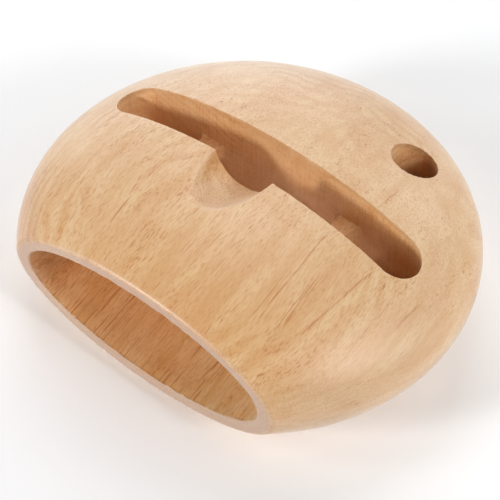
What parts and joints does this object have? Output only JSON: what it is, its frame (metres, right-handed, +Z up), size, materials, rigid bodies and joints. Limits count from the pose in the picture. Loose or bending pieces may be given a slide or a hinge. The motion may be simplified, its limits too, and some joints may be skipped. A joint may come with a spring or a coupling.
{
  "type": "passive phone amplifier",
  "caption": "Wooden pebble that holds a phone upright in a slot and leads its sound through a horn to an oval mouth, with a hole for a pen.",
  "frame": {"origin": "middle of the outline seen from above, on the plane that the feet stand on", "axes": "+Z up, the oval mouth faces -Y, +X runs along the phone slot to the side of the pen hole"},
  "size_m": [0.1138, 0.0954, 0.0469],
  "materials": {
    "body_wood": "sanded, thin satin oil",
    "dowel_wood": "plain",
    "pad_rubber": "matte"
  },
  "bodies": {
    "root": {"upper_shell": "body_wood", "lower_shell": "body_wood", "dowel_left": "dowel_wood", "dowel_right": "dowel_wood", "dowel_back": "dowel_wood", "foot_front_left": "pad_rubber", "foot_front_right": "pad_rubber", "foot_back_right": "pad_rubber", "foot_back_left": "pad_rubber"}
  },
  "joints": []
}
